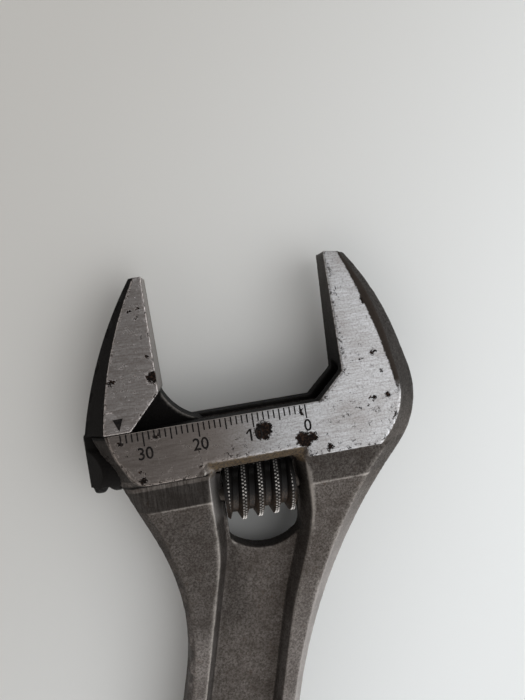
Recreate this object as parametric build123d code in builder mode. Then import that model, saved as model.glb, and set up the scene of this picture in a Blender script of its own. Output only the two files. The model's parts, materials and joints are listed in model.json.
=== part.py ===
from build123d import *
import os
from math import ceil, cos, pi, radians, sin, tan

# Driving dimensions, in millimetres and degrees

# Whole wrench: the handle runs along Y, the scale face looks along +Z, the hanging hole is the origin
overall_length = 256.0
head_angle = 15.0            # the jaws lean this far from the handle's line
handle_end_radius = 13.0
hang_hole_radius = 5.5
hang_hole_chamfer = 0.8
handle_axis_offset = 12.5    # from the fixed jaw's face, at the throat, to the handle's line

# Forged sides: a small draft from the parting line, then a wide bevel up to the ground faces
side_draft = 8.0
bevel_draft = 49.0
bevel_start = 2.0            # height above the mid-plane where the bevel starts
bevel_height = 5.2
rim_swell = 1.4              # the bevel is this much further out along the handle than on the head
cheek_bevel_top = -56.4      # on the left cheek the bevel's foot has a line of its own, with a bend
cheek_bevel_bend = (-48.25, -5.5)
cheek_bevel_radius = 12.0
blank_height = 9.0

# Faces, as half thicknesses: the ground faces are a wedge that thins towards the jaw tips
throat_half = 5.87
wedge_slope = 0.1022
ground_end = -9.8            # where the ground face steps down to the neck, below the throat
step_half = 5.45
corner_radius = 4.5          # the ground face's lower left corner
corner_place = -37.67
corner_turn = 61.0           # the rounding ends after this angle, on the cheek's bevel
corner_floor = 5.6
corner_reach = 12.0
crest = -15.3                # the neck's worn crest line, below the throat
crest_half = 5.75
rim_start = -45.0
rim_half = 4.7

# Forging outline: corner points on the head plane and the radius that rounds each
jaw_top = 45.0               # the outline runs up to here before the jaws are cut free
cheek_top = (-66.3, jaw_top)
cheek_foot = -43.1
cheek_radius = 46.0
shoulder_foot = -35.3
shoulder_foot_radius = 105.0
shoulder = (16.82, -4.9)
shoulder_radius = 17.0
jaw_back_bend = (10.55, 18.5)
jaw_back_radius = 50.0
jaw_back_top = (-8.0, jaw_top)
far = 90.0                   # well outside the head, for cuts that run out of it

# Fixed jaw
tip_height = 27.8
tip_fall = 0.15              # the tip's end falls this much for each millimetre outwards
throat_relief = 5.2          # the slanted corner between throat and fixed jaw
throat_relief_rise = 4.9

# Handle
neck_half_width = 11.4
recess_half_width = 6.15     # the sunk panel between the rims, at its floor
recess_floor = 1.7
recess_draft = 22.0
recess_end_gap = 10.0        # from the hanging hole's edge to the panel's end
recess_end_radius = 5.0
pocket_top = -10.9           # the pocket round the worm starts here, below the throat
pocket_right_end = -21.5
pocket_margin = 0.6          # the pocket's floor is this much wider than the window
pocket_radius = 0.6
brow_floor = 5.05            # the bevel over the worm slants from the ground face down to here
brow_margin = 0.8
brow_draft = 49.0
panel_right_top = -41.0
panel_right_radius = 20.0
panel_left_top = -32.0
panel_left_radius = 30.0
panel_neck_radius = 40.0

# Jaw travel
jaw_travel = 34.0
shut_gap = 0.3
jaw_back_foot = 15.2         # the movable jaw's width at the throat
jaw_back_middle = (-10.5, 13.9)
jaw_back_below = -15.6       # the back's line goes on to here, under the throat, and cuts the bar off
jaw_tip_width = 2.7
jaw_tip_height = 27.7
jaw_foot_gap = 0.2
jaw_relief_foot = 5.9
jaw_relief_top = 6.4
jaw_front = 27.0             # the jaw's blank stands this far in front of its face before it is cut
flare_reach = 6.4            # the neck web's fillet stands out this far in front of the jaw face
flare_middle = 2.5
web_thickness = 4.6
web_slot_gap = 0.2
flare_gap = 0.35             # round the fillet, and the slot's cut above the throat

# Rack bar and its bore
bar_radius = 4.7
bar_gap = 0.2
bar_depth = -6.65            # the bar's axis, below the throat
bar_back = 16.5
bar_front = 9.3
bar_chamfer = 0.3
bore_end = 9.4
web_front = -3.0             # the web's front edge leans back from its fillet to here, at the bar's end

# Worm and rack teeth
pitch = 3.15
worm_radius = 5.75
thread_depth = 1.62
thread_crest = 0.95
thread_flank = 20.0
worm_depth = -15.65          # the worm's axis, below the throat
worm_end_gap = 0.15
worm_chamfer = 1.3
crest_place = -24.13         # a thread crest on the rack's side, with the jaw fully open
mesh_gap = 0.18
rack_tip_gap = 0.3
groove_over = 0.4            # the cutters of rack and worm stand this far out of the blanks
rack_behind = 8              # whole pitches from that crest back to the rack's last groove

# Window for the worm
window_left = -25.6
window_right = -11.5
window_top = -9.5
window_bottom = -27.5
window_arch_rise = 2.9

# Worm pin and spring
pin_radius = 2.0
pin_thread_radius = 2.6
pin_hole_gap = 0.02
pin_run_gap = 0.05
pin_seat = -31.0             # the bottom of the blind hole in the left cheek
pin_shoulder = -8.5
pin_slot_end = 3.4
pin_slot_width = 0.9
pin_slot_depth = 1.2
spring_wire_radius = 0.3
spring_radius = 2.75
spring_pitch = 1.5
spring_turns = 3.0
spring_wire_sides = 5        # a few flats stand for the thin round wire
spring_end_gap = 0.05
spring_pocket_radius = 3.3
spring_pocket_depth = 5.6

# Planes: head has its X along the scale and its Y along the jaws, side looks along the scale
tip_rise = tip_height * cos(radians(head_angle))
throat_y = overall_length - handle_end_radius - tip_rise
head_x = Vector(cos(radians(head_angle)), sin(radians(head_angle)), 0)
head_y = Vector(-sin(radians(head_angle)), cos(radians(head_angle)), 0)
head = Plane(origin=(handle_axis_offset, throat_y, 0), x_dir=head_x, z_dir=(0, 0, 1))
side = Plane(origin=head.origin, x_dir=head_y, z_dir=head_x)

jaw_open = jaw_travel + shut_gap
jaw = Plane(origin=head.from_local_coords(Vector(-jaw_open, 0, 0)), x_dir=head_x, z_dir=(0, 0, 1))
jaw_side = Plane(origin=jaw.origin, x_dir=head_y, z_dir=head_x)


def from_handle(across, along):
    """A point given from the handle's line and the throat's height, on the head plane."""
    return head.to_local_coords(Vector(across, throat_y + along, 0))


def ground_half(along):
    """Half thickness of the ground wedge at a height above the throat."""
    return throat_half - wedge_slope * along


def forging_outline(swell, cheek, cheek_radii):
    """The body's outer line from the left cheek's points on, with the jaw mouth still filled in."""
    left = FilletPolyline(
        *cheek,
        from_handle(-neck_half_width - swell, cheek_foot),
        from_handle(-handle_end_radius - swell, -throat_y),
        radius=cheek_radii,
    )
    end = ThreePointArc(
        left @ 1,
        from_handle(0, -throat_y - handle_end_radius - swell),
        from_handle(handle_end_radius + swell, -throat_y),
    )
    right = FilletPolyline(
        end @ 1,
        from_handle(neck_half_width + swell, shoulder_foot),
        shoulder,
        jaw_back_bend,
        jaw_back_top,
        radius=(shoulder_foot_radius, shoulder_radius, jaw_back_radius),
    )
    Line(right @ 1, left @ 0)


def jaw_back_outline():
    """The movable jaw's back, closed far in front of the jaw face."""
    back = ThreePointArc((-jaw_tip_width, jaw_tip_height), jaw_back_middle, (-jaw_back_foot, 0))
    Polyline(
        back @ 1,
        (jaw_back_below, -jaw_front),
        (jaw_front, -jaw_front),
        (jaw_front, jaw_top),
        (jaw_front / 3, jaw_top),
        back @ 0,
    )


# Bevel round the body's edges, used to trim the forging
with BuildPart() as body_bevel:
    with BuildSketch(head.offset(bevel_start)) as bevel_base:
        with BuildLine():
            bevel_cheek = ((cheek_bevel_top, jaw_top), cheek_bevel_bend)
            forging_outline(rim_swell, bevel_cheek, (cheek_bevel_radius, cheek_radius))
        make_face()
    extrude(amount=bevel_height, taper=bevel_draft)
    extrude(bevel_base.sketch, amount=-bevel_start)
    mirror(about=Plane.XY)

# Pocket round the worm, the brow over it and the sunk panel of the handle: one recess on each face
with BuildPart() as recess:
    with BuildSketch(head.offset(recess_floor)):
        with BuildLine():
            panel_end = -throat_y + hang_hole_radius + recess_end_gap
            FilletPolyline(
                (window_left - pocket_margin, pocket_top),
                (window_right + pocket_margin, pocket_top),
                (window_right + pocket_margin, pocket_right_end),
                from_handle(recess_half_width, panel_right_top),
                from_handle(recess_half_width, panel_end),
                from_handle(-recess_half_width, panel_end),
                from_handle(-recess_half_width, panel_left_top),
                radius=(
                    pocket_radius,
                    pocket_radius,
                    panel_right_radius,
                    panel_neck_radius,
                    recess_end_radius,
                    recess_end_radius,
                    panel_left_radius,
                ),
                close=True,
            )
        make_face()
    extrude(amount=blank_height - recess_floor, taper=-recess_draft)
    with BuildSketch(head.offset(brow_floor)):
        with BuildLine():
            Polyline(
                (window_left - brow_margin, pocket_top - brow_margin),
                (window_right + brow_margin, pocket_top - brow_margin),
                (window_right + brow_margin, window_top),
                (window_left - brow_margin, window_top),
                close=True,
            )
        make_face()
    extrude(amount=blank_height - brow_floor, taper=-brow_draft)
    mirror(about=Plane.XY)

# Rounded lower left corner of the ground faces: all that lies outside a cone, over the corner's angle
with BuildPart() as ground_corner:
    corner = head.from_local_coords(Vector(corner_place, ground_end + corner_radius, 0))
    with BuildSketch(Plane(origin=corner, x_dir=-head_y, z_dir=-head_x)):
        cone_slope = tan(radians(bevel_draft))
        cone_foot = corner_radius + (ground_half(ground_end) - corner_floor) * cone_slope
        Polygon(
            (cone_foot, corner_floor),
            (corner_reach, corner_floor),
            (corner_reach, blank_height),
            (cone_foot - (blank_height - corner_floor) * cone_slope, blank_height),
            align=None,
        )
    revolve(axis=Axis(corner, (0, 0, -1)), revolution_arc=corner_turn)
    mirror(about=Plane.XY)

# Body: handle, neck and fixed jaw, one forging
with BuildPart() as wrench_body:
    with BuildSketch(head):
        with BuildLine():
            forging_outline(0, (cheek_top,), (cheek_radius,))
        make_face()
    extrude(amount=blank_height, taper=side_draft)
    mirror(about=Plane.XY)
    add(body_bevel.part, mode=Mode.INTERSECT)

    # Ground wedge, step, crest and rims, seen from the side
    with BuildSketch(side):
        with BuildLine():
            Polyline(
                (jaw_top, 0),
                (jaw_top, ground_half(jaw_top)),
                (ground_end, ground_half(ground_end)),
                (ground_end, step_half),
                (crest, crest_half),
                (rim_start, rim_half),
                (-overall_length, rim_half),
                (-overall_length, 0),
                close=True,
            )
        make_face()
        mirror(about=Plane.XZ)
    extrude(amount=overall_length, both=True, mode=Mode.INTERSECT)

    # Jaw mouth: throat, slanted corner, fixed jaw's face and tip
    with BuildSketch(head):
        Polygon(
            (-far, 0),
            (-throat_relief, 0),
            (0, throat_relief_rise),
            (0, tip_height),
            (far, tip_height - far * tip_fall),
            (far, far),
            (-far, far),
            align=None,
        )
    extrude(amount=blank_height, both=True, mode=Mode.SUBTRACT)

    add(ground_corner.part, mode=Mode.SUBTRACT)
    add(recess.part, mode=Mode.SUBTRACT)

    # Window for the worm, with an arched lower end
    with BuildSketch(head):
        with BuildLine():
            arch_start = window_bottom + window_arch_rise
            walls = Polyline(
                (window_left, arch_start),
                (window_left, window_top),
                (window_right, window_top),
                (window_right, arch_start),
            )
            ThreePointArc(
                walls @ 1,
                ((window_left + window_right) / 2, window_bottom),
                walls @ 0,
            )
        make_face()
    extrude(amount=blank_height, both=True, mode=Mode.SUBTRACT)

    # Keyhole for the rack bar and the neck web
    with BuildSketch(side.offset(bore_end)):
        with Locations((bar_depth, 0)):
            Circle(bar_radius + bar_gap)
    extrude(amount=-(bore_end + far), mode=Mode.SUBTRACT)
    with BuildSketch(head):
        with BuildLine():
            slot_end = flare_reach + 2 * flare_gap
            slot_top = jaw_relief_top + flare_gap
            slot_middle = flare_middle + flare_gap
            flare = ThreePointArc((0, slot_top), (slot_middle, slot_middle), (slot_end, flare_gap))
            Polyline(
                flare @ 1,
                (bore_end, flare_gap + slot_end - bore_end),
                (bore_end, bar_depth),
                (-far, bar_depth),
                (-far, flare_gap),
                (-throat_relief, flare_gap),
                flare @ 0,
            )
        make_face()
    extrude(amount=web_thickness / 2 + web_slot_gap, both=True, mode=Mode.SUBTRACT)

    # Pin hole: blind in the left cheek, wider and open at the right side
    with BuildSketch(side.offset(pin_seat)):
        with Locations((worm_depth, 0)):
            Circle(pin_radius + pin_hole_gap)
    extrude(amount=pin_shoulder - pin_seat, mode=Mode.SUBTRACT)
    with BuildSketch(side.offset(pin_shoulder)):
        with Locations((worm_depth, 0)):
            Circle(pin_thread_radius + pin_hole_gap)
    extrude(amount=far, mode=Mode.SUBTRACT)

    # Hanging hole with chamfered edges
    with Locations(Location((0, 0, rim_half)), Location((0, 0, -rim_half), (180, 0, 0))):
        CounterSinkHole(
            radius=hang_hole_radius,
            counter_sink_radius=hang_hole_radius + hang_hole_chamfer,
        )
wrench_body.part.label = "wrench_body"

# Bevel of the movable jaw's back
with BuildPart() as jaw_bevel:
    with BuildSketch(jaw.offset(bevel_start)) as jaw_bevel_base:
        with BuildLine():
            jaw_back_outline()
        make_face()
    extrude(amount=bevel_height, taper=bevel_draft)
    extrude(jaw_bevel_base.sketch, amount=-bevel_start)
    mirror(about=Plane.XY)

# Movable jaw: jaw, neck web and round bar with the rack
with BuildPart() as movable_jaw:
    with BuildSketch(jaw):
        with BuildLine():
            jaw_back_outline()
        make_face()
    extrude(amount=blank_height, taper=side_draft)
    mirror(about=Plane.XY)
    add(jaw_bevel.part, mode=Mode.INTERSECT)
    with BuildSketch(jaw_side):
        Polygon(
            (jaw_top, ground_half(jaw_top)),
            (bar_depth, ground_half(bar_depth)),
            (bar_depth, -ground_half(bar_depth)),
            (jaw_top, -ground_half(jaw_top)),
            align=None,
        )
    extrude(amount=far, both=True, mode=Mode.INTERSECT)
    with BuildSketch(jaw):
        Polygon(
            (0, jaw_relief_top),
            (0, jaw_tip_height),
            (-far, jaw_tip_height),
            (-far, jaw_foot_gap),
            (-jaw_relief_foot, jaw_foot_gap),
            align=None,
        )
    extrude(amount=blank_height, both=True, mode=Mode.INTERSECT)

    # Neck web with its fillet in front of the jaw face
    with BuildSketch(jaw):
        with BuildLine():
            fillet_line = ThreePointArc(
                (0, jaw_relief_top),
                (flare_middle, flare_middle),
                (flare_reach, 0),
            )
            Polyline(
                fillet_line @ 1,
                (bar_front, web_front),
                (bar_front, bar_depth),
                (-bar_back, bar_depth),
                (-jaw_back_foot, jaw_foot_gap),
                (-jaw_relief_foot, jaw_relief_top),
                fillet_line @ 0,
            )
        make_face()
    extrude(amount=web_thickness / 2, both=True)
    with BuildSketch(jaw):
        Polygon(
            (-bar_back, bar_depth),
            (-bar_back, bar_depth - bar_radius + bar_chamfer),
            (-bar_back + bar_chamfer, bar_depth - bar_radius),
            (bar_front - bar_chamfer, bar_depth - bar_radius),
            (bar_front, bar_depth - bar_radius + bar_chamfer),
            (bar_front, bar_depth),
            align=None,
        )
    revolve(axis=Axis(jaw.from_local_coords(Vector(0, bar_depth, 0)), head_x))
    add(jaw_bevel.part, mode=Mode.INTERSECT)

    # Rack: a groove for each thread turn, leaning by the thread's lead
    rack_tip = bar_depth - bar_radius
    rack_root = worm_depth + worm_radius + rack_tip_gap
    root_half = thread_crest / 2 + mesh_gap - rack_tip_gap * tan(radians(thread_flank))
    groove_deep = rack_root - rack_tip + groove_over
    tip_half = root_half + groove_deep * tan(radians(thread_flank))
    lead_slope = pitch / (2 * pi * (worm_radius - thread_depth / 2))
    rack_plane = Plane(
        origin=jaw.origin,
        x_dir=head_x + Vector(0, 0, lead_slope),
        z_dir=Vector(0, 0, 1) - head_x * lead_slope,
    )
    last_groove = crest_place + jaw_open - rack_behind * pitch
    groove_count = ceil((bar_front + pitch / 2 - last_groove) / pitch)
    with BuildSketch(rack_plane):
        for index in range(groove_count):
            with Locations((last_groove + index * pitch, 0)):
                Polygon(
                    (-root_half, rack_root),
                    (root_half, rack_root),
                    (tip_half, rack_root - groove_deep),
                    (-tip_half, rack_root - groove_deep),
                    align=None,
                )
    extrude(amount=2 * bar_radius, both=True, mode=Mode.SUBTRACT)
movable_jaw.part.label = "movable_jaw"

# Worm, in its own frame with Z along its axis and X towards the rack: a left-hand groove, cut turn by turn
worm_left = window_left + worm_end_gap
worm_length = window_right - worm_end_gap - worm_left
groove_start = crest_place - worm_left - 1.5 * pitch
worm_place = Plane(
    origin=head.from_local_coords(Vector(worm_left, worm_depth, 0)),
    x_dir=head_y,
    z_dir=head_x,
)
groove_turns = ceil((worm_length - groove_start) / pitch)
flank_slope = tan(radians(thread_flank))
groove_half = (pitch - thread_crest) / 2
with BuildPart() as worm:
    with BuildSketch():
        Circle(worm_radius)
    extrude(amount=worm_length)
    chamfer(worm.edges().filter_by(GeomType.CIRCLE), worm_chamfer)
    for turn in range(groove_turns):
        with BuildLine():
            groove_path = Helix(
                pitch=pitch,
                height=pitch,
                radius=worm_radius,
                center=(0, 0, groove_start + turn * pitch),
                lefthand=True,
            )
        with BuildSketch(Plane(origin=groove_path @ 0, x_dir=(1, 0, 0), z_dir=groove_path % 0)):
            Polygon(
                (-thread_depth, groove_half - thread_depth * flank_slope),
                (groove_over, groove_half + groove_over * flank_slope),
                (groove_over, -groove_half - groove_over * flank_slope),
                (-thread_depth, -groove_half + thread_depth * flank_slope),
                align=None,
            )
        sweep(path=groove_path, is_frenet=True, mode=Mode.SUBTRACT)
    with BuildSketch():
        Circle(pin_radius + pin_run_gap)
    extrude(amount=worm_length, mode=Mode.SUBTRACT)
    with BuildSketch():
        Circle(spring_pocket_radius)
    extrude(amount=spring_pocket_depth, mode=Mode.SUBTRACT)
adjusting_worm = worm.part.moved(worm_place.location)
adjusting_worm.label = "adjusting_worm"

# Worm pin: plain axle, wider screwed end with a slot
with BuildPart() as worm_pin:
    with BuildSketch(side.offset(pin_seat)):
        with Locations((worm_depth, 0)):
            Circle(pin_radius)
    extrude(amount=pin_shoulder - pin_seat)
    with BuildSketch(side.offset(pin_shoulder)):
        with Locations((worm_depth, 0)):
            Circle(pin_thread_radius)
    extrude(amount=pin_slot_end - pin_shoulder)
    with BuildSketch(side.offset(pin_slot_end)):
        with Locations((worm_depth, 0)):
            Rectangle(4 * pin_thread_radius, pin_slot_width)
    extrude(amount=-pin_slot_depth, mode=Mode.SUBTRACT)
worm_pin.part.label = "worm_pin"

# Worm spring, in the worm's frame: a short coil round the pin, inside the worm's left end
spring_start = spring_pocket_depth - spring_end_gap - spring_wire_radius - spring_pitch * spring_turns
with BuildPart() as spring:
    with BuildLine():
        spring_path = Helix(
            pitch=spring_pitch,
            height=spring_pitch * spring_turns,
            radius=spring_radius,
            center=(0, 0, spring_start),
        )
    with BuildSketch(Plane(origin=spring_path @ 0, z_dir=spring_path % 0)):
        RegularPolygon(spring_wire_radius, spring_wire_sides)
    sweep(path=spring_path, is_frenet=True)
worm_spring = spring.part.moved(worm_place.location)
worm_spring.label = "worm_spring"

os.makedirs("parts", exist_ok=True)
for piece in (wrench_body.part, movable_jaw.part, adjusting_worm, worm_pin.part, worm_spring):
    export_step(piece, f"parts/{piece.label}.step")
    print(piece.label, round(piece.volume), "cubic mm, valid", piece.is_valid)
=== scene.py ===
# %% [markdown]
# # An old adjustable wrench
# The wrench is one dark forging with a ground head, a sliding jaw and a knurled worm. Its parts come
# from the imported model, which stands here as a fixed frame: nothing in it is moved, and the pieces
# made below are put where the frame says.

# %% Load the frame
import json
from math import atan, cos, pi, radians, sin
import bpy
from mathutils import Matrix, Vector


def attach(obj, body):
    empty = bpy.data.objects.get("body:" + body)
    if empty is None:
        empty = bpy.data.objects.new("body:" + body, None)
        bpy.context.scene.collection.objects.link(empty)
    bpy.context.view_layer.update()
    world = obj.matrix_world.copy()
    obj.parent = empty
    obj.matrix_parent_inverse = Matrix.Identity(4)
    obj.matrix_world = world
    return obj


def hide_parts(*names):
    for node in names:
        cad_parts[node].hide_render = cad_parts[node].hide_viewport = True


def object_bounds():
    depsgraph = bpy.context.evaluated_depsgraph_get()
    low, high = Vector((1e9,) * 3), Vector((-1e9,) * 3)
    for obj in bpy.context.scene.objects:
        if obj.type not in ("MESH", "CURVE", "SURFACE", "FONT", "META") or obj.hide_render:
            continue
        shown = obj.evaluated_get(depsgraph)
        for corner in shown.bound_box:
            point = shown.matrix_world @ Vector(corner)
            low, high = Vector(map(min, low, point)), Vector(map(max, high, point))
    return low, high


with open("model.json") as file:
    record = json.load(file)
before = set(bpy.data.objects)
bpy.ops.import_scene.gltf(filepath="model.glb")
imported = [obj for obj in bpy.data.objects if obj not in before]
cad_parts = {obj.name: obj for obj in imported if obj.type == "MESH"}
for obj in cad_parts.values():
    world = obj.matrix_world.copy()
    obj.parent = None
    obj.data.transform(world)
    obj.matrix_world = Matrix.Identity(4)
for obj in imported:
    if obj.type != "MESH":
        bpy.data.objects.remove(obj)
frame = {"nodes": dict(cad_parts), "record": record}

from types import SimpleNamespace

import bpy
import numpy as np
from mathutils import Matrix, Vector

cad_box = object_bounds()
MM = 0.001
print("nodes:", sorted(frame["nodes"]))

# %% [markdown]
# ## The head's own directions
# The jaws lean 15 degrees from the handle, so places on the head are easier to give along the scale
# and along the jaws. The record's mount on the fixed jaw's face gives both directions and the throat,
# the point where that face would meet the bottom of the jaw mouth.

# %% Find the head's directions
mounts = {mount["name"]: mount for mount in frame["record"]["mounts"]}
face_mount = mounts["fixed_jaw_face"]
face_mount_height = 15 * MM
toward_face = -Vector(face_mount["axis"])
toward_tips = Vector((0, 0, 1)).cross(toward_face)
throat = Vector(face_mount["pos_m"]) - toward_tips * face_mount_height
lean = Vector((1, 0, 0)).angle(toward_face)


def on_head(across, along, height):
    """A point in the frame, from millimetres along the scale, along the jaws and above the mid-plane."""
    return throat + (toward_face * across + toward_tips * along + Vector((0, 0, height))) * MM


print("throat at", [round(x / MM, 2) for x in throat], "mm, head leans", round(lean * 180 / pi, 2))

# %% [markdown]
# ## Camera
# The photograph was taken from close above the jaws, with a wide lens, so nearer edges look larger
# and the inner walls of the mouth show. The camera's place and turn are given on the head.

# %% Place the camera
camera_place = (-24.30, 18.15, 97.43)
camera_look = (0.10693, -0.07561, -0.99139)
camera_up = (0.15526, 0.98614, -0.05847)
image_height = 700
focal_pixels = 503.7
sensor = 36.0


def head_direction(parts):
    """A direction in the frame from its parts along the scale, along the jaws and upwards."""
    return (toward_face * parts[0] + toward_tips * parts[1] + Vector((0, 0, parts[2]))).normalized()


bpy.ops.object.select_all(action="DESELECT")
bpy.ops.object.camera_add()
camera = bpy.context.object
camera.name = "camera"
back = -head_direction(camera_look)
right = head_direction(camera_up).cross(back).normalized()
turn = Matrix((right, back.cross(right), back)).transposed().to_4x4()
camera.matrix_world = Matrix.Translation(on_head(*camera_place)) @ turn
camera.data.sensor_width = sensor
camera.data.lens = sensor * focal_pixels / image_height
camera.data.clip_start = 0.005
bpy.context.scene.camera = camera
print("lens", round(camera.data.lens, 2), "mm")

# %% [markdown]
# ## Node helpers
# Every finish below is a small tree of nodes. These helpers add one node each, or a short chain of them,
# and join it to what it reads, so a finish can be written as a few lines of plain sums.


# %% Helpers for node trees
class Tree:
    """A material's nodes, with short ways to add the ones that the finishes need."""

    def __init__(self, tree):
        self.nodes = tree.nodes
        self.links = tree.links

    def put(self, socket, value):
        """Gives a socket a constant, or joins another node's output to it."""
        if isinstance(value, bpy.types.NodeSocket):
            self.links.new(value, socket)
        else:
            socket.default_value = value

    def add(self, kind, *values, **settings):
        """A node of that kind with its settings, and its first inputs filled in."""
        node = self.nodes.new("ShaderNode" + kind)
        for name, setting in settings.items():
            setattr(node, name, setting)
        for socket, value in zip(node.inputs, values):
            if value is not None:
                self.put(socket, value)
        return node

    def sum(self, operation, *values):
        return self.add("Math", *values, operation=operation).outputs[0]

    def times(self, first, *others):
        """All the values multiplied."""
        for value in others:
            first = self.sum("MULTIPLY", first, value)
        return first

    def most(self, first, *others):
        """The largest of the values."""
        for value in others:
            first = self.sum("MAXIMUM", first, value)
        return first

    def rest(self, value):
        """What the value leaves of 1."""
        return self.sum("SUBTRACT", 1.0, value)

    def step(self, value, low, high, to_low=0.0, to_high=1.0):
        """A soft step: to_low where the value is low, to_high where it is high."""
        node = self.add("MapRange", value, low, high, to_low, to_high, interpolation_type="SMOOTHSTEP")
        return node.outputs[0]

    def zone(self, value, start, end, soft=0.8):
        """1 where the value lies between start and end, with soft ends."""
        over = self.step(value, start - soft / 2, start + soft / 2)
        under = self.step(value, end + soft / 2, end - soft / 2)
        return self.times(over, under)

    def mix(self, factor, first, second):
        node = self.add("Mix", data_type="RGBA")
        self.put(node.inputs[0], factor)
        self.put(node.inputs[6], first)
        self.put(node.inputs[7], second)
        return node.outputs[2]

    def blend(self, factor, first, second):
        node = self.add("Mix", data_type="FLOAT")
        self.put(node.inputs[0], factor)
        self.put(node.inputs[2], first)
        self.put(node.inputs[3], second)
        return node.outputs[0]

    def noise(self, place, scale, detail=2.0, roughness=0.5):
        return self.add("TexNoise", place, None, scale, detail, roughness).outputs[0]

    def stretch(self, place, *scale):
        return self.add("VectorMath", place, scale, operation="MULTIPLY").outputs[0]

    def parts(self, vector):
        return self.add("SeparateXYZ", vector).outputs

    def dot(self, vector, direction):
        return self.add("VectorMath", vector, direction, operation="DOT_PRODUCT").outputs["Value"]

    def distance(self, vector, point):
        return self.add("VectorMath", vector, point, operation="DISTANCE").outputs["Value"]


def new_material(name):
    """A material with its tree and its shader."""
    material = bpy.data.materials.new(name)
    material.use_nodes = True
    return material, Tree(material.node_tree), material.node_tree.nodes["Principled BSDF"]


def grey(red, green=None, blue=None):
    """A colour from picture values of 0 to 255, turned into the linear values that nodes use."""
    values = (red, red if green is None else green, red if blue is None else blue)
    linear = [((x / 255 + 0.055) / 1.055) ** 2.4 if x > 10 else x / 255 / 12.92 for x in values]
    return (*linear, 1.0)


# %% [markdown]
# ## Floor and light
# The floor is a plain pale table, painted greyer away from the lamp as a painted falloff of its light. A
# room lights most of a scene from its walls and windows, while its ceiling is darker. Flat steel seen
# from above mirrors that ceiling, so one soft lamp stands right of the overhead direction: the ground
# faces catch it on the right and grow dark to the left.

# %% Floor
floor_size = 3.0
floor_gap = 0.05 * MM
floor_painted_shade = grey(197, 195, 191)
floor_painted_lit = grey(243, 246, 247)
mottle_grey = grey(205, 203, 199)
mottle_share = 0.12
shade_until, lit_from = -0.10, 0.08

bpy.ops.object.select_all(action="DESELECT")
bpy.ops.mesh.primitive_plane_add(size=floor_size, location=(0, 0, cad_box[0].z - floor_gap))
floor = bpy.context.object
floor.name = "floor"
floor_paint, tree, shader = new_material("floor_paint")
place = tree.add("TexCoord").outputs["Object"]
mottle = tree.noise(place, 9.0, 4.0)
toward_light = toward_face * 0.8 - toward_tips * 0.6
middle = toward_light.dot(throat)
# Painted light: the floor is paler toward the lamp and greyer away from it.
painted_light_falloff = tree.step(tree.dot(place, toward_light), middle + shade_until, middle + lit_from)
paint = tree.mix(painted_light_falloff, floor_painted_shade, floor_painted_lit)
tree.put(shader.inputs["Base Color"], tree.mix(tree.times(mottle, mottle_share), paint, mottle_grey))
shader.inputs["Roughness"].default_value = 0.6
floor.data.materials.append(floor_paint)
print("floor at", round(floor.location.z / MM, 2), "mm")

# %% Room
overhead_light = 0.13
side_light = 1.38
side_gain = 0.50
forward_gain = 0.35
ceiling_edge = (0.56, 0.76)
warm_left = (1.0, 0.965, 0.935, 1.0)
cool_right = (0.97, 0.99, 1.0, 1.0)

world = bpy.data.worlds.new("room")
world.use_nodes = True
tree = Tree(world.node_tree)
direction = tree.add("TexCoord").outputs["Generated"]
up = tree.parts(direction)[2]
rightward = tree.dot(direction, toward_face)
forward = tree.dot(direction, toward_tips)
ceiling = tree.step(tree.sum("MULTIPLY_ADD", forward, forward_gain, up), *ceiling_edge)
walls = tree.sum("MULTIPLY_ADD", rightward, side_gain, side_light)
background = tree.nodes["Background"]
tree.put(background.inputs["Color"], tree.mix(tree.step(rightward, -0.6, 0.6), warm_left, cool_right))
tree.put(background.inputs["Strength"], tree.blend(ceiling, walls, overhead_light))
bpy.context.scene.world = world
bpy.context.scene.view_settings.view_transform = "Standard"
print("room light", overhead_light, "overhead and", side_light, "from the sides")

# %% Lamp
lamp_place = (0.34, 0.00, 0.50)
lamp_size = 0.65
lamp_power = 1.50

bpy.ops.object.select_all(action="DESELECT")
bpy.ops.object.light_add(type="AREA")
lamp = bpy.context.object
lamp.name = "soft_lamp"
lamp.data.size = lamp_size
lamp.data.energy = lamp_power
lamp_offset = toward_face * lamp_place[0] + toward_tips * lamp_place[1] + Vector((0, 0, lamp_place[2]))
lamp.location = throat + lamp_offset
lamp.rotation_mode = "QUATERNION"
lamp.rotation_quaternion = lamp_offset.to_track_quat("Z", "Y")
print("lamp", round(lamp_offset.length, 2), "m from the throat")

# %% [markdown]
# ## Worn copies of the two large solids
# The CAD solids have sharp edges, but a forging has soft ones, and years of use rub them bright. Each
# solid is copied, its loose triangles are merged, and the copy is remeshed into small even faces, which
# can be smoothed and can carry a value for each point. Faces that were ground flat stay crisp. A Bevel
# modifier would take fewer faces, but it works best on clean edge loops, and the solid's triangles have none.

# %% Copy and remesh a solid
throat_half = 5.87
wedge_slope = 0.1022
merge_distance = 1e-7
blur_turns = 2
blur_share = 0.6


def dense_copy(node, name, voxel):
    """A new piece with a CAD node's shape in small even faces."""
    bpy.ops.object.select_all(action="DESELECT")
    source = frame["nodes"][node]
    bpy.context.view_layer.objects.active = source
    source.select_set(True)
    bpy.ops.object.duplicate()
    piece = bpy.context.object
    piece.name = name
    piece.parent = None
    for key_name in list(piece.keys()):
        del piece[key_name]
    piece.data.materials.clear()
    bpy.ops.object.mode_set(mode="EDIT")
    bpy.ops.mesh.select_all(action="SELECT")
    bpy.ops.mesh.remove_doubles(threshold=merge_distance)
    bpy.ops.object.mode_set(mode="OBJECT")
    piece.data.remesh_voxel_size = voxel
    bpy.ops.object.voxel_remesh()
    bpy.ops.object.shade_smooth()
    print(name, len(piece.data.polygons), "faces")
    return piece


def places_of(piece):
    """The places of a piece's points, as an array."""
    places = np.zeros(len(piece.data.vertices) * 3)
    piece.data.vertices.foreach_get("co", places)
    return places.reshape(-1, 3)


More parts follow.
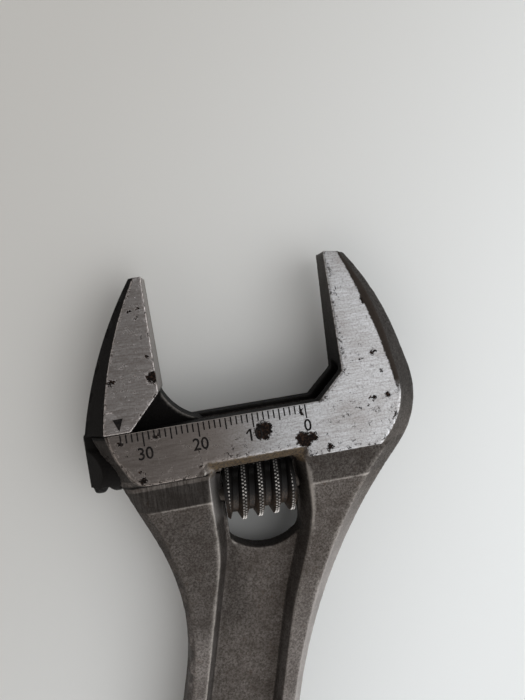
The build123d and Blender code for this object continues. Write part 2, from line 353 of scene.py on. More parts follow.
def add_group(piece, name, chosen):
    """A vertex group of the points that are chosen."""
    group = piece.vertex_groups.new(name=name)
    group.add([int(index) for index in np.nonzero(chosen)[0]], 1.0, "REPLACE")


def soften(piece, depth, turns):
    """Rounds the forged edges and leaves the ground faces as they are."""
    places = places_of(piece)
    along = (places - np.array(throat)) @ np.array(toward_tips) / MM
    below = throat_half - wedge_slope * along - np.abs(places[:, 2]) / MM
    add_group(piece, "forged", below > depth)
    bpy.context.view_layer.objects.active = piece
    smooth = piece.modifiers.new("soften", "SMOOTH")
    smooth.factor = 0.5
    smooth.iterations = turns
    smooth.vertex_group = "forged"
    bpy.ops.object.modifier_apply(modifier="soften")


def mark_edges(piece, rounds):
    """Stores on each point how far it stands out of its neighbours: above 0 on edges, below 0 in corners."""
    places = places_of(piece)
    count = len(places)
    normals = np.zeros(count * 3)
    piece.data.vertex_normals.foreach_get("vector", normals)
    pairs = np.zeros(len(piece.data.edges) * 2, int)
    piece.data.edges.foreach_get("vertices", pairs)
    first, second = pairs.reshape(-1, 2).T
    neighbours = np.bincount(first, minlength=count) + np.bincount(second, minlength=count)

    def around(values):
        total = np.bincount(first, values[second], count) + np.bincount(second, values[first], count)
        return total / neighbours

    wide = places
    for _ in range(rounds):
        wide = np.stack([around(wide[:, axis]) for axis in range(3)], axis=1)
    stand_out = ((places - wide) * normals.reshape(-1, 3)).sum(axis=1) / MM
    for _ in range(blur_turns):
        stand_out = (1 - blur_share) * stand_out + blur_share * around(stand_out)
    attribute = piece.data.attributes.new("edge", "FLOAT", "POINT")
    attribute.data.foreach_set("value", stand_out.astype(np.float32))
    print(piece.name, "edge values", np.percentile(stand_out, [1, 10, 50, 90, 99]).round(3))


def roughen(piece, height, grain_size):
    """Gives the forged skin its slight unevenness."""
    grain = bpy.data.textures.new("forging_skin", "CLOUDS")
    grain.noise_scale = grain_size
    grain.noise_depth = 2
    uneven = piece.modifiers.new("uneven", "DISPLACE")
    uneven.texture = grain
    uneven.texture_coords = "LOCAL"
    uneven.strength = height
    uneven.vertex_group = "forged"
    bpy.context.view_layer.objects.active = piece
    bpy.ops.object.modifier_apply(modifier="uneven")


def thin_out(piece, highest, triangles):
    """Merges faces below a height along the handle until the piece has about that many triangles."""
    add_group(piece, "thin", places_of(piece)[:, 1] < highest)
    thin = piece.modifiers.new("thin", "DECIMATE")
    thin.ratio = triangles / (2 * len(piece.data.polygons))
    thin.vertex_group = "thin"
    bpy.context.view_layer.objects.active = piece
    bpy.ops.object.modifier_apply(modifier="thin")
    print(piece.name, "thinned to", len(piece.data.polygons), "faces")


# %% The forged body
body_voxel = 0.40 * MM
skin_height = 0.10 * MM
skin_grain = 1.1 * MM
handle_top = 150 * MM
body_triangles = 182_000

forged_body = dense_copy("wrench_body", "forged_body", body_voxel)
soften(forged_body, depth=0.30, turns=4)
mark_edges(forged_body, rounds=5)
roughen(forged_body, skin_height, skin_grain)
thin_out(forged_body, handle_top, body_triangles)
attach(forged_body, "wrench")
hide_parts("wrench_body")

# %% The sliding jaw
jaw_voxel = 0.22 * MM

sliding_jaw = dense_copy("movable_jaw", "sliding_jaw", jaw_voxel)
soften(sliding_jaw, depth=0.25, turns=4)
mark_edges(sliding_jaw, rounds=8)
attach(sliding_jaw, "jaw")
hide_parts("movable_jaw")

# %% [markdown]
# ## Steel of the head and handle
# One finish covers a whole forging. The ground faces lie on two planes, so the depth below those planes
# tells bright ground steel from dark forging scale. Grinding left fine lines along the scale, rust left
# pits and a few large patches, and hands wore the forged edges bright. A highlight is painted on the worn
# edges that lean toward the lamp, a sheen on the handle's rims and a highlight on its right bevel, and
# shade in the mouth, on the neck's band, on the left and on walls that face away from the lamp; the sliding
# jaw is painted nearly black as shade, and the ground faces are painted darker to the left, as tarnish and
# shade. A few walls were milled bright, and the pocket's wall that faces the lamp is painted lighter.
# Where a bevel is wider than on the solid, the bright face is trimmed back to it.
# The masks could be painted by hand, but sums of soft steps on the head's own places need no unwrapping.

# %% Places on the head
# Each area is a stretch along the scale and one along the jaws: its start, its end and how soft they are.
neck_band = (-15.3, -9.6, 0.3)
head_areas = {
    "mouth": ((-60.0, 1.4, 0.8), (-0.9, 60.0, 0.8)),
    "cheek": ((-60.0, -36.0, 0.8), (-9.0, 2.0, 0.8)),
    "scale": ((-44.0, -6.5, 0.8), (-2.4, 0.8, 0.8)),
    "left_band": ((-60.0, -27.6, 0.8), neck_band),
    "brow": ((-27.5, -9.5, 0.8), (-11.2, -7.6, 0.3)),
    "pocket": ((-30.5, -24.0, 0.8), (-19.0, -7.4, 3.0)),
    "pocket_edge": ((-13.0, -6.0, 0.8), (-24.0, -8.5, 7.0)),
    "arch": ((-24.6, -11.5, 0.8), (-31.0, -23.0, 2.0)),
    "web": ((-34.5, -24.0, 0.8), (0.3, 7.0, 0.3)),
    "grip": ((-35.0, -33.0, 0.3), (6.6, 60.0, 0.8)),
    "rack": ((-28.0, -8.0, 0.8), (-13.5, -9.0, 0.8)),
}


def head_place(tree):
    """Object coordinates turned to the head and given in millimetres from the throat."""
    place = tree.add("TexCoord").outputs["Object"]
    node = tree.add("Mapping", place, vector_type="POINT")
    node.inputs["Rotation"].default_value = (0, 0, -lean)
    node.inputs["Scale"].default_value = (1 / MM,) * 3
    turned = Matrix.Rotation(-lean, 3, "Z") @ throat
    node.inputs["Location"].default_value = [-x / MM for x in turned]
    return node.outputs[0]


def surface(tree):
    """What a finish reads of the surface: its place, its depth below the ground planes and its slope."""
    place = head_place(tree)
    across, along, height = tree.parts(place)
    tall = tree.sum("ABSOLUTE", height)
    plane = tree.sum("MULTIPLY_ADD", along, -wedge_slope, throat_half)
    normal = tree.add("TexCoord").outputs["Normal"]
    upward = tree.sum("ABSOLUTE", tree.parts(normal)[2])
    rightward = tree.dot(normal, toward_face)
    side = tree.parts(tree.add("TexCoord").outputs["Object"])[0]
    # Steep walls get painted shade, except where they face the lamp on the right and count as lit.
    lit = tree.most(tree.step(along, -20.5, -17.5), tree.step(side, 2 * MM, 4 * MM))
    lit = tree.times(lit, tree.step(rightward, 0.10, 0.45))
    return SimpleNamespace(
        place=place, across=across, along=along, height=height, tall=tall, rightward=rightward, side=side,
        flat=tree.add("CombineXYZ", across, along, 0.0).outputs[0],
        below=tree.sum("SUBTRACT", plane, tall),
        edge=tree.add("Attribute", attribute_name="edge").outputs["Fac"],
        steep=tree.times(tree.step(upward, 0.93, 0.70), tree.rest(lit)),
        ragged=tree.sum("SUBTRACT", tree.noise(place, 2.0, 4.0, 0.7), 0.5),
    )


def area(tree, at, name):
    """1 inside one of the head's areas."""
    span, reach = head_areas[name]
    return tree.times(tree.zone(at.across, *span), tree.zone(at.along, *reach))


# %% Ground steel
# The large patches, each by its place along the scale and the jaws and its radius, and two sizes of pits.
rust_patches = (
    (-16.4, -3.5, 1.75), (-9.2, -6.4, 1.5), (-7.4, -6.1, 0.9), (-9.1, -1.4, 0.5),
    (-34.9, 9.3, 1.2), (-42.2, 9.5, 0.7), (-37.4, 21.7, 0.45), (-36.1, 20.3, 0.35), (-35.5, 22.0, 0.4),
    (6.2, 17.5, 0.75), (9.8, 11.5, 0.5), (6.4, 7.4, 0.5), (8.0, -1.0, 0.6), (5.0, -0.9, 0.5),
    (-42.4, -1.7, 0.6), (-36.0, -1.3, 0.55), (-4.6, -8.6, 0.6), (-39.4, -8.7, 0.6), (-23.6, -6.6, 0.35),
    (-35.2, 13.0, 0.35), (-35.8, 17.0, 0.3), (-41.6, -4.1, 0.3), (-39.6, -7.0, 0.3), (3.8, 6.4, 0.4),
)
pit_sizes = ((0.8, 0.27, 3.0), (1.9, 0.30, 2.4))
steel_dull = grey(166, 164, 164)
steel_bright = grey(204, 205, 208)
speckle_grey = grey(124, 120, 118)
rust_black = grey(18, 14, 13)
rust_brown = grey(56, 41, 33)


def rust_mask(tree, at, crowded):
    """1 in the pits and the rust patches of a ground face."""
    wander = tree.add("TexNoise", at.place, None, 1.2, 5.0, 0.8).outputs["Color"]
    shift = tree.add("VectorMath", wander, (0.5, 0.5, 0.5), operation="SUBTRACT").outputs[0]
    ragged = tree.add("VectorMath", shift, (3.4, 3.4, 0), at.flat, operation="MULTIPLY_ADD").outputs[0]
    mask = 0.0
    for across, along, radius in rust_patches:
        distance = tree.distance(ragged, (across, along, 0))
        mask = tree.most(tree.step(distance, 1.12 * radius, 0.88 * radius), mask)
    for cell_scale, largest, rarity in pit_sizes:
        cells = tree.add("TexVoronoi", ragged, None, cell_scale)
        chance = tree.add("SeparateColor", cells.outputs["Color"]).outputs[0]
        size = tree.times(tree.sum("POWER", chance, rarity), tree.times(crowded, largest))
        pit = tree.step(tree.sum("SUBTRACT", cells.outputs["Distance"], size), 0.03, -0.05)
        mask = tree.most(pit, mask)
    return mask


def ground_steel(tree, at, tarnish_and_shade_share, tarnish_and_shade_colour):
    """Colour, rust and grinding lines of the ground faces: tarnished in patches, and darkest at the left, as
    tarnish and painted shade.
    """
    waver = tree.times(tree.noise(at.flat, 0.10, 1.0), 0.5)
    waved = tree.add("CombineXYZ", at.across, tree.sum("ADD", at.along, waver), at.height).outputs[0]
    coarse = tree.noise(tree.stretch(waved, 0.13, 3.0, 1.0), 1.0, 5.0, 0.75)
    fine = tree.noise(tree.stretch(waved, 0.6, 7.0, 1.0), 1.0, 3.0, 0.6)
    lines = tree.sum("MULTIPLY_ADD", fine, 0.5, tree.times(coarse, 0.5))
    colour = tree.mix(tree.step(lines, 0.36, 0.64), steel_dull, steel_bright)
    speckle = tree.step(tree.noise(at.flat, 2.6, 3.0, 0.7), 0.46, 0.62)
    colour = tree.mix(tree.times(speckle, 0.45), colour, speckle_grey)
    tarnish = tree.step(tree.noise(at.flat, 0.11, 3.0), 0.42, 0.70, 0.0, 0.35)
    # Darker toward the left: tarnish together with painted shade of the dimmer reflection there.
    left_tarnish_and_shade = tree.step(at.across, -11.0, -27.0, 0.0, tarnish_and_shade_share)
    colour = tree.mix(tree.most(tarnish, left_tarnish_and_shade), colour, grey(*tarnish_and_shade_colour))
    off_scale = tree.rest(area(tree, at, "scale"))
    crowded = tree.step(tree.noise(at.flat, 0.16, 2.0), 0.36, 0.62, 0.5, 1.4)
    crowded = tree.times(crowded, tree.step(off_scale, 0.0, 1.0, 0.4, 1.0))
    chips = tree.times(tree.step(tree.noise(at.place, 1.3, 4.0, 0.7), 0.52, 0.64), off_scale)
    chips = tree.times(tree.step(at.edge, 0.010, 0.05), chips)
    rust = tree.most(rust_mask(tree, at, crowded), tree.times(chips, 0.9))
    brown = tree.step(tree.noise(at.place, 2.4, 4.0), 0.45, 0.75)
    return tree.mix(rust, colour, tree.mix(brown, rust_black, rust_brown)), rust, lines


# %% Forging scale
sheen_grey = grey(150, 144, 141)
cloud_brown = grey(62, 55, 50)
stain_brown = grey(70, 54, 43)
painted_shade_black = grey(10, 9, 9)


def forging_scale(tree, at, worn_edge, shade, light, dark):
    """Fine brown-grey scale: combed in the neck's band, with a painted sheen on the handle's rims, darker by
    the painted shade.
    """
    grain = tree.noise(at.place, 2.6, 5.0, 0.75)
    upright_lines = tree.noise(tree.stretch(at.place, 4.0, 0.2, 0.6), 1.0, 3.0, 0.7)
    grain = tree.blend(tree.times(area(tree, at, "left_band"), 0.6), grain, upright_lines)
    colour = tree.mix(tree.step(grain, 0.36, 0.66), grey(*dark), grey(*light))
    # Painted sheen on the handle's rims, stronger toward the handle's end.
    painted_sheen = tree.times(tree.step(at.tall, 2.2, 3.2), tree.step(at.along, -30.0, -50.0, 0.0, 0.42))
    painted_sheen = tree.times(painted_sheen, tree.step(grain, 0.34, 0.66, 0.45, 1.45))
    colour = tree.mix(painted_sheen, colour, sheen_grey)
    clouds = tree.noise(at.place, 0.22, 4.0, 0.65)
    colour = tree.mix(tree.step(clouds, 0.36, 0.68, 0.0, 0.55), colour, cloud_brown)
    stains = tree.noise(at.place, 0.55, 4.0, 0.7)
    colour = tree.mix(tree.step(stains, 0.58, 0.74, 0.0, 0.5), colour, stain_brown)
    # Painted shade darkens the scale toward black.
    colour = tree.mix(shade, colour, painted_shade_black)
    crest = tree.times(tree.zone(at.along, -15.55, -15.2, 0.5), tree.zone(at.below, 1.2, 2.1, 0.3), 0.11)
    uneven = tree.times(tree.sum("SUBTRACT", tree.noise(at.place, 1.3, 6.0, 0.8), 0.5), 0.20)
    standing = tree.sum("ADD", tree.sum("ADD", worn_edge, uneven), crest)
    return colour, grain, tree.step(standing, 0.015, 0.170, 0.0, 0.85)


# %% Body and jaw finish
rubbed_highlight_steel = grey(168, 162, 156)
milled_and_lit_steel = grey(168, 163, 160)
bevel_brown = grey(48, 41, 36)
brow_brown = grey(97, 82, 62)


def bare_share(tree, at, pocket_edge, shade, trimmed):
    """How much of the worn edges and their painted highlight shows: most where they lean right toward the
    lamp, none under the painted shade or on wide bevels.
    """
    bare = tree.most(tree.rest(shade), tree.times(area(tree, at, "web"), 0.4))
    away_from_lamp = tree.step(pocket_edge, 0.0, 1.0, 0.15, 0.75)
    # Painted highlight: edges that lean left, away from the lamp, keep only part of their brightness.
    toward_lamp = tree.step(at.rightward, -0.12, 0.02, away_from_lamp, 1.0)
    jaw_back = tree.times(tree.step(at.along, -4.0, 2.0), tree.step(at.across, 2.0, 3.0))
    arch = tree.times(area(tree, at, "arch"), 0.8)
    return tree.times(bare, toward_lamp, tree.rest(trimmed), tree.rest(jaw_back), tree.rest(arch))


def worn_steel(name, shade_of, milled_and_lit_of, trim_of, light, dark, tarnish_and_shade_share, tarnish_and_shade_colour):
    """Ground steel on the two ground planes, forging scale elsewhere."""
    material, tree, shader = new_material(name)
    at = surface(tree)
    ground = tree.step(tree.sum("MULTIPLY_ADD", at.ragged, 0.34, at.below), 0.17, 0.07)
    trim = trim_of(tree, at) if trim_of else 1.0
    trimmed = tree.times(ground, tree.rest(trim))
    ground = tree.times(ground, trim)
    ground_colour, rust, lines = ground_steel(tree, at, tarnish_and_shade_share, tarnish_and_shade_colour)

    shade = shade_of(tree, at)
    pocket_edge = area(tree, at, "pocket_edge")
    worn_edge = tree.times(at.edge, tree.step(pocket_edge, 0.0, 1.0, 1.0, 1.6))
    colour, grain, rubbed_and_highlit = forging_scale(tree, at, worn_edge, shade, light, dark)
    # Worn edges, with a painted highlight on those that lean toward the lamp.
    rubbed_and_highlit = tree.times(rubbed_and_highlit, bare_share(tree, at, pocket_edge, shade, trimmed))
    colour = tree.mix(rubbed_and_highlit, colour, rubbed_highlight_steel)
    bevel = tree.times(trimmed, tree.rest(tree.zone(at.across, -31.5, -26.0)), 0.75)
    colour = tree.mix(bevel, colour, bevel_brown)
    # Milled faces, and painted light on the walls and the bevel that face the lamp.
    milled = tree.times(milled_and_lit_of(tree, at), tree.step(at.below, 0.5, 1.2))
    colour = tree.mix(milled, colour, milled_and_lit_steel)
    brow = tree.times(area(tree, at, "brow"), tree.step(grain, 0.40, 0.62, 0.10, 0.95))
    colour = tree.mix(brow, colour, brow_brown)
    tree.put(shader.inputs["Base Color"], tree.mix(ground, colour, ground_colour))

    clean = tree.times(ground, tree.rest(rust))
    metal = tree.most(clean, tree.times(tree.most(rubbed_and_highlit, milled), 0.8))
    tree.put(shader.inputs["Metallic"], tree.blend(metal, 0.45, 1.0))
    tree.put(shader.inputs["Roughness"], tree.blend(metal, 0.56, tree.step(lines, 0.3, 0.7, 0.34, 0.46)))
    ground_height = tree.sum("SUBTRACT", tree.times(lines, 0.02), tree.times(rust, 0.06))
    bump = tree.add("Bump", 0.9, MM)
    tree.put(bump.inputs["Height"], tree.blend(ground, tree.times(grain, 0.09), ground_height))
    tree.links.new(bump.outputs[0], shader.inputs["Normal"])
    shader.inputs["Specular IOR Level"].default_value = 0.08
    return material


# %% Painted shade, milled and lit walls and wide bevels
# The outlines of the bright face, each by its circle's centre and radius, and the pocket's slanted corner.
back_circle = ((-105.9, -16.6, 0.0), 117.1)
cheek_circle = ((-32.85, -0.4, 0.0), 11.4)
corner_slant = (0.652, -0.758, 0.0)


def body_shade(tree, at):
    """Painted shade: in the mouth, on the neck's band, the left cheek and rim, and on walls that face away
    from the lamp; the jaw's outer bevel is darkened too.
    """
    mouth = tree.times(area(tree, at, "mouth"), tree.step(at.along, 4.0, 26.0, 0.97, 0.62))
    cheek = tree.times(area(tree, at, "cheek"), 0.75)
    band = tree.times(tree.zone(at.along, *neck_band), tree.step(at.across, -26.0, -10.0, 0.66, 0.34))
    left = tree.step(at.across, -27.0, -28.0)
    step_light = tree.times(tree.zone(at.along, -11.1, -10.4, 0.3), left, 0.62)
    step_shadow = tree.times(tree.zone(at.along, -10.35, -9.9, 0.2), left, 0.93)
    band = tree.most(tree.sum("SUBTRACT", band, step_light), step_shadow)
    left_rim = tree.zone(at.along, -42.0, -16.0, 6.0)
    left_rim = tree.times(left_rim, tree.step(at.across, -22.0, -26.0, 0.0, 0.28))
    shade = tree.most(tree.times(at.steep, 0.55), cheek, band, left_rim, mouth)
    outer = tree.times(tree.step(at.along, -14.0, 2.0, 0.0, 0.68), tree.step(at.across, 1.0, 3.0))
    return tree.most(outer, tree.times(tree.step(at.below, 0.15, 0.45), shade))


def jaw_shade(tree, at):
    """Painted shade makes the jaw nearly black, except for its gripping face and its rack."""
    milled = tree.most(area(tree, at, "grip"), area(tree, at, "rack"))
    return tree.sum("SUBTRACT", 0.97, tree.times(milled, 0.93))


def body_milled(tree, at):
    """The worm pocket's left wall, milled and painted lighter where it faces the lamp, and a painted
    highlight on the handle's right bevel, which faces the lamp.
    """
    # Painted light: the pocket's wall is made lighter only where it faces the lamp.
    pocket = tree.times(area(tree, at, "pocket"), tree.step(at.rightward, 0.30, 0.62, 0.0, 0.55))
    # Painted highlight on the handle's right bevel, which faces the lamp.
    bevel = tree.times(tree.step(at.side, 6 * MM, 8 * MM), tree.step(at.along, -14.0, -34.0, 0.0, 0.5))
    bevel = tree.times(bevel, tree.step(at.rightward, 0.15, 0.35), tree.step(at.tall, 2.0, 2.5))
    return tree.most(pocket, bevel)


def jaw_milled(tree, at):
    """The sliding jaw's gripping face and rack were milled bright."""
    grip = tree.times(area(tree, at, "grip"), tree.step(at.rightward, 0.5, 0.8, 0.0, 0.5))
    return tree.most(grip, tree.times(area(tree, at, "rack"), 0.7))


def body_trim(tree, at):
    """0 where the body's bevels run wider than its solid: the outer edges and the pocket's corner."""
    trim = 1.0
    jaw_side = tree.step(at.along, -2.0, 2.0)
    cheek_side = tree.step(at.across, -36.0, -38.0)
    for (centre, radius), side in ((back_circle, jaw_side), (cheek_circle, cheek_side)):
        distance = tree.sum("MULTIPLY_ADD", at.ragged, 0.9, tree.distance(at.flat, centre))
        beyond = tree.step(distance, radius - 0.12, radius + 0.12)
        trim = tree.times(trim, tree.rest(tree.times(beyond, side)))
    corner = tree.step(tree.dot(at.flat, corner_slant), -12.25, -12.05)
    corner = tree.times(corner, tree.zone(at.across, -31.0, -26.6, 0.3), tree.step(at.along, -7.4, -7.7))
    return tree.times(trim, tree.rest(corner))


body_steel = worn_steel(
    "body_steel", body_shade, body_milled, body_trim, (114, 108, 104), (66, 61, 57), 0.85, (118, 108, 101)
)
jaw_steel = worn_steel(
    "jaw_steel", jaw_shade, jaw_milled, None, (112, 105, 99), (62, 56, 52), 0.50, (142, 128, 119)
)
forged_body.data.materials.append(body_steel)
sliding_jaw.data.materials.append(jaw_steel)
print("steel finishes made")

# %% [markdown]
# ## The knurled worm
# The thumb screw is a left-hand thread with two rows of small beads on its crest, which the thumb grips.
# One pitch of its outline is drawn, the Screw modifier winds it, and the crest's points are pushed in by
# turns, which leaves the beads standing. Separate beads would need placing one by one.

# %% Wind the thread
pitch = 3.15
worm_radius = 5.75
thread_depth = 1.62
crest_half = 0.475
flank_run = 0.59
bead_rise = 0.30
bead_inner = 0.08
bead_outer = 0.36
bead_depth = 0.28
beads = 52
worm_ends = (-25.45, -11.65)
worm_depth = -15.65
crest_place = -24.13
pin_clearance = 2.05
worm_length = worm_ends[1] - worm_ends[0]
first_groove = crest_place - worm_ends[0] - pitch / 2
root = worm_radius - thread_depth
flank_foot = crest_half + flank_run
half_outline = (
    (root, 0.0), (root, pitch / 2 - flank_foot), (worm_radius - bead_rise, pitch / 2 - crest_half),
    (worm_radius, pitch / 2 - bead_outer), (worm_radius, pitch / 2 - bead_inner),
)
groove_point = (worm_radius - bead_depth, pitch / 2)
other_half = tuple((radius, pitch - height) for radius, height in reversed(half_outline))
worm_outline = (*half_outline, groove_point, *other_half)
worm_chamfer = 0.9
turns_below = 2
worm_turns = 9

bpy.ops.object.select_all(action="DESELECT")
bpy.ops.mesh.primitive_plane_add(size=MM)
knurled_worm = bpy.context.object
knurled_worm.name = "knurled_worm"
bpy.ops.object.mode_set(mode="EDIT")
bpy.ops.mesh.select_all(action="SELECT")
bpy.ops.mesh.merge(type="CENTER")
top_groove = first_groove + (worm_turns - turns_below) * pitch
bpy.ops.transform.translate(value=(worm_outline[0][0] * MM, 0, top_groove * MM))
for (start_radius, start), (end_radius, end) in zip(worm_outline, worm_outline[1:]):
    step = ((end_radius - start_radius) * MM, 0, (end - start) * MM)
    bpy.ops.mesh.extrude_vertices_move(TRANSFORM_OT_translate={"value": step})
bpy.ops.object.mode_set(mode="OBJECT")
wind = knurled_worm.modifiers.new("wind", "SCREW")
wind.axis = "Z"
wind.screw_offset = -pitch * MM
wind.iterations = worm_turns
wind.steps = wind.render_steps = 2 * beads
bpy.ops.object.modifier_apply(modifier="wind")
print("thread", len(knurled_worm.data.polygons), "faces")

# %% Beads, ends and bore
bead_angle = pi / beads
blank_gap = 0.02
for vertex in knurled_worm.data.vertices:
    radius = vertex.co.xy.length
    angle = np.arctan2(vertex.co.y, vertex.co.x)
    phase = (vertex.co.z / MM - first_groove + pitch * angle / (2 * pi)) % pitch
    odd = round(angle / bead_angle) % 2 == 1
    on_crest = radius > (worm_radius - bead_depth / 2) * MM
    vertex.select = bool(on_crest and odd == (phase < pitch / 2))
bpy.ops.object.mode_set(mode="EDIT")
shrink = (worm_radius - bead_depth) / worm_radius
bpy.ops.transform.resize(value=(shrink, shrink, 1), center_override=(0, 0, 0))
bpy.ops.mesh.select_all(action="SELECT")
bpy.ops.mesh.remove_doubles(threshold=1e-6)
for end, outward in ((0.0, -1), (worm_length * MM, 1)):
    bpy.ops.mesh.bisect(
        plane_co=(0, 0, end), plane_no=(0, 0, outward), clear_outer=True, use_fill=True, threshold=1e-8
    )
    bpy.ops.mesh.select_all(action="SELECT")
bpy.ops.mesh.normals_make_consistent(inside=False)
bpy.ops.object.mode_set(mode="OBJECT")


def carve(piece, tool, operation):
    """Cuts a piece with a tool, or keeps what lies inside the tool, and removes the tool."""
    cut = piece.modifiers.new("carve", "BOOLEAN")
    cut.operation = operation
    cut.object = tool
    bpy.context.view_layer.objects.active = piece
    bpy.ops.object.modifier_apply(modifier="carve")
    bpy.data.objects.remove(tool)


bpy.ops.mesh.primitive_cylinder_add(vertices=64, radius=pin_clearance * MM, depth=4 * worm_length * MM)
carve(knurled_worm, bpy.context.object, "DIFFERENCE")
blank_radius = (worm_radius + blank_gap) * MM
blank_middle = (0, 0, worm_length / 2 * MM)
bpy.ops.mesh.primitive_cylinder_add(
    vertices=136, radius=blank_radius, depth=(worm_length + blank_gap) * MM, location=blank_middle
)
blank = bpy.context.object
bpy.ops.object.mode_set(mode="EDIT")
bpy.ops.mesh.select_all(action="DESELECT")
bpy.ops.object.mode_set(mode="OBJECT")
bpy.context.tool_settings.mesh_select_mode = (False, True, False)
for edge in blank.data.edges:
    ends = [blank.data.vertices[index].co.z for index in edge.vertices]
    edge.select = abs(ends[0] - ends[1]) < 1e-6
bpy.ops.object.mode_set(mode="EDIT")
bpy.ops.mesh.bevel(offset=worm_chamfer * MM, segments=1)
bpy.ops.object.mode_set(mode="OBJECT")
bpy.context.tool_settings.mesh_select_mode = (True, False, False)
carve(knurled_worm, blank, "INTERSECT")
worm_turn = Matrix((toward_tips, Vector((0, 0, 1)), toward_face)).transposed().to_4x4()
knurled_worm.matrix_world = Matrix.Translation(on_head(worm_ends[0], worm_depth, 0)) @ worm_turn
bpy.ops.object.select_all(action="DESELECT")
knurled_worm.select_set(True)
bpy.ops.object.transform_apply()
bpy.ops.object.shade_smooth_by_angle(angle=radians(35))
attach(knurled_worm, "worm")
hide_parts("adjusting_worm")
print("worm", len(knurled_worm.data.polygons), "faces")

# %% [markdown]
# The worm was blackened. Thumbs wore its beads bright, and old oil and dust lie low between the threads,
# so the finish goes from black to bright steel with the distance from the worm's own axis. The beads are
# painted darker toward the brow as its shadow, and the dust shows only on the lower, lit side, while the
# upper grooves are painted black as shade.

# %% Worm finish
worm_black = grey(15, 14, 14)
worm_dust = grey(76, 62, 50)
worm_bright = grey(206, 202, 198)

worm_steel, tree, shader = new_material("worm_steel")
place = head_place(tree)
along, height = tree.parts(place)[1:]
sideways = tree.add("CombineXYZ", 0.0, tree.sum("SUBTRACT", along, worm_depth), height).outputs[0]
radius = tree.add("VectorMath", sideways, operation="LENGTH").outputs["Value"]
grain = tree.noise(place, 3.0, 3.0)
worn = tree.step(tree.sum("MULTIPLY_ADD", grain, 0.2, radius), worm_radius - 0.10, worm_radius + 0.07)
# Painted shadow of the brow: the beads are darker toward it.
worn = tree.times(worn, tree.step(along, -11.0, -15.0, 0.35, 1.0))
# Dust shows only low on the worm, on its lit side; higher up the grooves stay black as painted shade.
dust_and_lower_light = tree.times(tree.step(grain, 0.35, 0.65), tree.step(along, -14.5, -18.5, 0.05, 1.0))
dust_and_shade = tree.mix(dust_and_lower_light, worm_black, worm_dust)
tree.put(shader.inputs["Base Color"], tree.mix(worn, dust_and_shade, worm_bright))
tree.put(shader.inputs["Metallic"], tree.blend(worn, 0.35, 1.0))
tree.put(shader.inputs["Roughness"], tree.blend(worn, 0.5, 0.3))
knurled_worm.data.materials.append(worm_steel)
print("worm finish made")

# %% [markdown]
# ## The scale and the pointer
# The scale is stamped into the ground face in millimetres and filled with black. Its marks are thin
# slivers that lie on the sloping face: a tick for each millimetre, longer at fives and tens, the tens'
# numbers, and a small triangle on the sliding jaw that points at the reading. Cut marks would need a finer
# mesh than the face has, because the lines are thinner than its faces.

# %% Marks on the ground face
mark_lift = 0.03
mark_width = 0.26
zero_place = -8.15
last_tick = 34
tick_lengths = {10: 2.6, 5: 2.1, 1: 1.55}
tick_top = -0.05
tick_waver = 0.02
face_tilt = atan(wedge_slope)
ink_black = grey(14, 12, 12)
ink_worn = grey(38, 33, 31)

scale_black, tree, shader = new_material("scale_black")
worn = tree.step(tree.noise(head_place(tree), 2.2, 3.0), 0.45, 0.75)
tree.put(shader.inputs["Base Color"], tree.mix(worn, ink_black, ink_worn))
shader.inputs["Roughness"].default_value = 0.85
shader.inputs["Specular IOR Level"].default_value = 0.15


def on_face(across, along):
    """A placement on the upper ground face: X along the scale, Y up the jaws, Z out of the face."""
    up_face = toward_tips * cos(face_tilt) - Vector((0, 0, 1)) * sin(face_tilt)
    turn = Matrix((toward_face, up_face, toward_face.cross(up_face))).transposed().to_4x4()
    return Matrix.Translation(on_head(across, along, throat_half - wedge_slope * along + mark_lift)) @ turn


def settle(mark, placement):
    """Puts a mark on the face, gives it a little body and applies its place."""
    mark.matrix_world = placement @ mark.matrix_basis
    bpy.ops.object.select_all(action="DESELECT")
    bpy.context.view_layer.objects.active = mark
    mark.select_set(True)
    bpy.ops.object.transform_apply()
    bpy.ops.object.mode_set(mode="EDIT")
    bpy.ops.mesh.select_all(action="SELECT")
    bpy.ops.mesh.extrude_region_shrink_fatten(TRANSFORM_OT_shrink_fatten={"value": -2 * mark_lift * MM})
    bpy.ops.mesh.select_all(action="SELECT")
    bpy.ops.mesh.normals_make_consistent(inside=False)
    bpy.ops.object.mode_set(mode="OBJECT")


def tick(reading):
    """One stamped line, from the throat's edge down, a little out of line as by hand."""
    length = next(length for every, length in tick_lengths.items() if reading % every == 0)
    bpy.ops.mesh.primitive_plane_add(size=1)
    mark = bpy.context.object
    mark.scale = (mark_width * MM, length * MM, 1)
    out_of_line = tick_waver * sin(5.0 * reading)
    settle(mark, on_face(zero_place - reading, tick_top - length / 2 + out_of_line))
    return mark


def joined(marks, name):
    """Several marks as one piece."""
    bpy.ops.object.select_all(action="DESELECT")
    for mark in marks:
        mark.select_set(True)
    bpy.context.view_layer.objects.active = marks[0]
    if len(marks) > 1:
        bpy.ops.object.join()
    piece = bpy.context.object
    piece.name = name
    piece.data.name = name
    piece.data.materials.clear()
    piece.data.materials.append(scale_black)
    return piece


scale_ticks = joined([tick(reading) for reading in range(last_tick + 1)], "scale_ticks")
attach(scale_ticks, "wrench")
print("scale ticks", len(scale_ticks.data.polygons), "faces")

# %% Numbers
number_height = 2.25
number_width = 0.95
number_place = -4.05
stroke_gain = 0.012
flag_width = 0.1
flag_stretch = 3.4
flag_offset = (-0.09, -0.14)


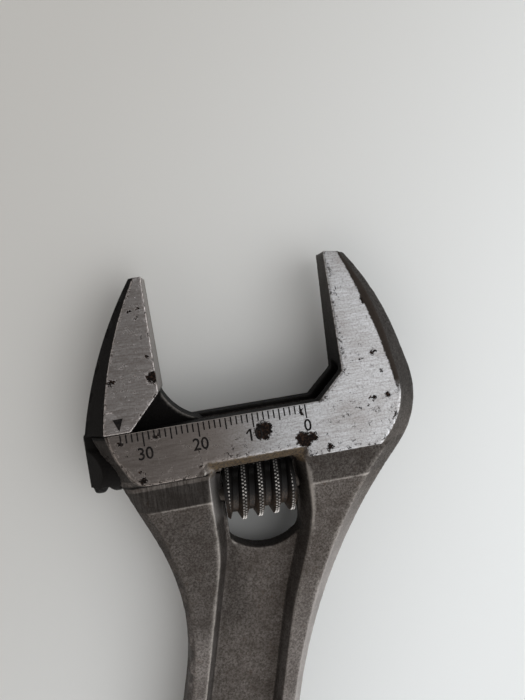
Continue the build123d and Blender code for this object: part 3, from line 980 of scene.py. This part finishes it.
def add_flag(mark):
    """Gives the number that starts with a plain upright its slanting flag."""
    left = min(point.co.x for point in mark.data.vertices)
    top = max(point.co.y for point in mark.data.vertices)
    corner = (left + flag_offset[0], top + flag_offset[1], 0)
    bpy.ops.mesh.primitive_plane_add(size=flag_width, rotation=(0, 0, -pi / 4), location=corner)
    flag = bpy.context.object
    flag.scale.y = flag_stretch
    bpy.ops.object.transform_apply()
    mark.select_set(True)
    bpy.context.view_layer.objects.active = mark
    bpy.ops.object.join()


def number(reading):
    """A stamped number, centred under its tick."""
    bpy.ops.object.select_all(action="DESELECT")
    bpy.ops.object.text_add()
    mark = bpy.context.object
    mark.data.body = str(reading)
    mark.data.align_x = "CENTER"
    mark.data.align_y = "CENTER"
    mark.data.resolution_u = 4
    mark.data.offset = stroke_gain
    bpy.ops.object.convert(target="MESH")
    mark = bpy.context.object
    size = number_height * MM / mark.dimensions.y
    if reading == 10:
        add_flag(mark)
    mark.scale = (size * number_width, size, size)
    settle(mark, on_face(zero_place - reading, number_place))
    return mark


scale_numbers = joined([number(reading) for reading in range(0, last_tick, 10)], "scale_numbers")
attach(scale_numbers, "wrench")
print("scale numbers", len(scale_numbers.data.polygons), "faces")

# %% Pointer
pointer_place = (-42.1, 2.15)
pointer_scale = (1.05, 1.5, 1)

bpy.ops.object.select_all(action="DESELECT")
bpy.ops.mesh.primitive_circle_add(vertices=3, radius=MM, fill_type="NGON", rotation=(0, 0, pi))
pointer = bpy.context.object
pointer.scale = pointer_scale
bpy.ops.object.transform_apply()
settle(pointer, on_face(*pointer_place))
pointer = joined([pointer], "jaw_pointer")
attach(pointer, "jaw")
print("pointer", len(pointer.data.polygons), "faces")

# %% [markdown]
# ## Pin and spring
# Only a little of the pin shows, beside the worm and at its slotted end on the side of the neck, and the
# spring hides inside the worm. Their solids are right as they are, so they only get a finish.

# %% Pin and spring finish
def plain_steel(name, dark, light, roughness):
    """Dark turned steel with fine scratches."""
    material, tree, shader = new_material(name)
    scratches = tree.noise(tree.stretch(head_place(tree), 6.0, 0.6, 0.6), 1.0, 4.0)
    tree.put(shader.inputs["Base Color"], tree.mix(scratches, grey(*dark), grey(*light)))
    tree.put(shader.inputs["Roughness"], tree.step(scratches, 0.2, 0.8, roughness, roughness + 0.15))
    shader.inputs["Metallic"].default_value = 0.8
    return material


for node, finish in (
    ("worm_pin", plain_steel("pin_steel", (60, 54, 50), (98, 92, 86), 0.4)),
    ("worm_spring", plain_steel("spring_wire", (70, 68, 66), (130, 128, 126), 0.35)),
):
    piece = frame["nodes"][node]
    piece.data.materials.clear()
    piece.data.materials.append(finish)
print("pin and spring finished")
